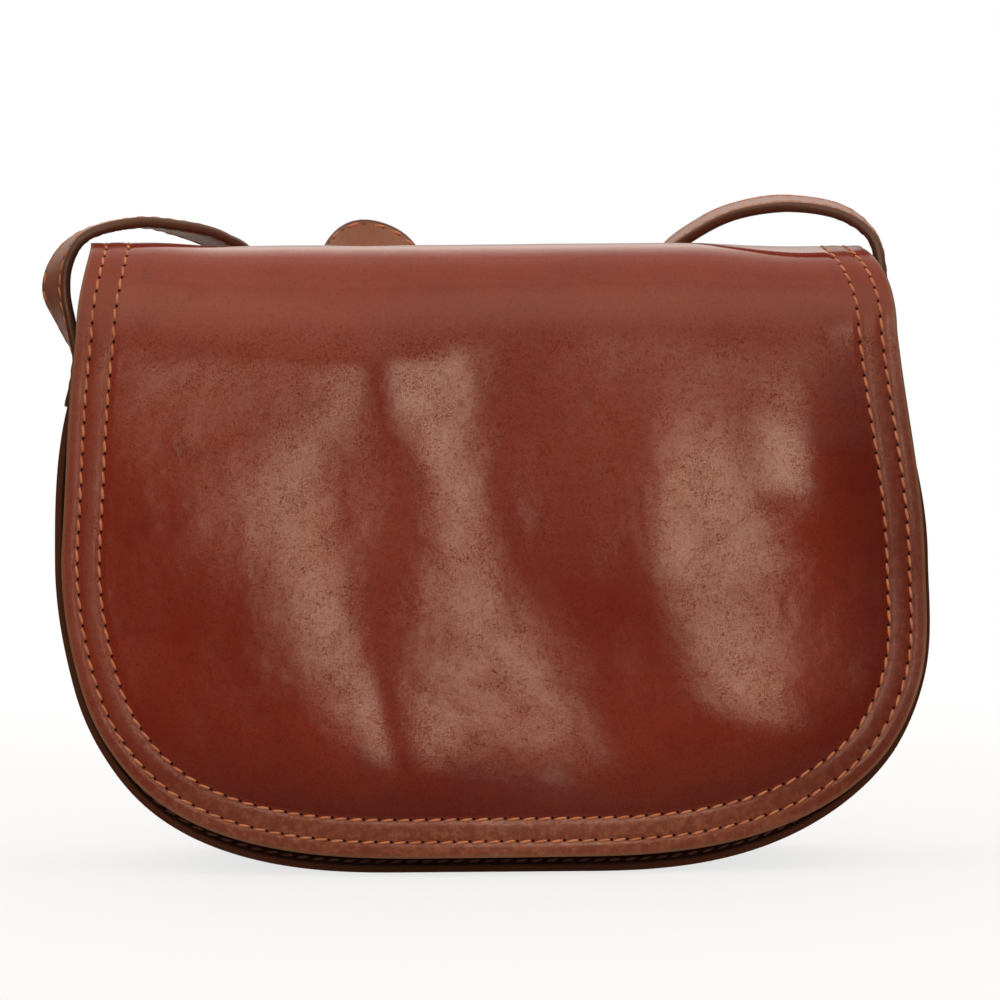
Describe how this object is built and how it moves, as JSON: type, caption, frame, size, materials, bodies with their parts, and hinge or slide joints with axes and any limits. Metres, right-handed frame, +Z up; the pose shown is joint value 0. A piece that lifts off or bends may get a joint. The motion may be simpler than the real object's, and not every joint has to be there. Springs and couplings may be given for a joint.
{
  "type": "hunting bag",
  "caption": "Small leather hunting bag with round lower corners, a full front flap over a round top, a gusset round its sides and base, and a long shoulder strap.",
  "frame": {"origin": "middle of the gusset's flat base, on the surface that the bag stands on", "axes": "+X to the right of someone who faces the flap, +Y from the front to the back, +Z up"},
  "size_m": [0.2869, 0.1081, 0.2168],
  "materials": {
    "flap_leather": "glossy chestnut, vegetable tanned, fine pebbled grain",
    "body_leather": "glossy chestnut, vegetable tanned",
    "gusset_leather": "dark chestnut, softly polished",
    "strap_leather": "tan chestnut, two layers, stitched along both edges",
    "thread": "waxed orange-tan sewing thread"
  },
  "bodies": {
    "root": {"back_panel": "body_leather", "front_panel": "body_leather", "gusset": "gusset_leather", "flap": "flap_leather", "strap": "strap_leather"}
  },
  "joints": []
}
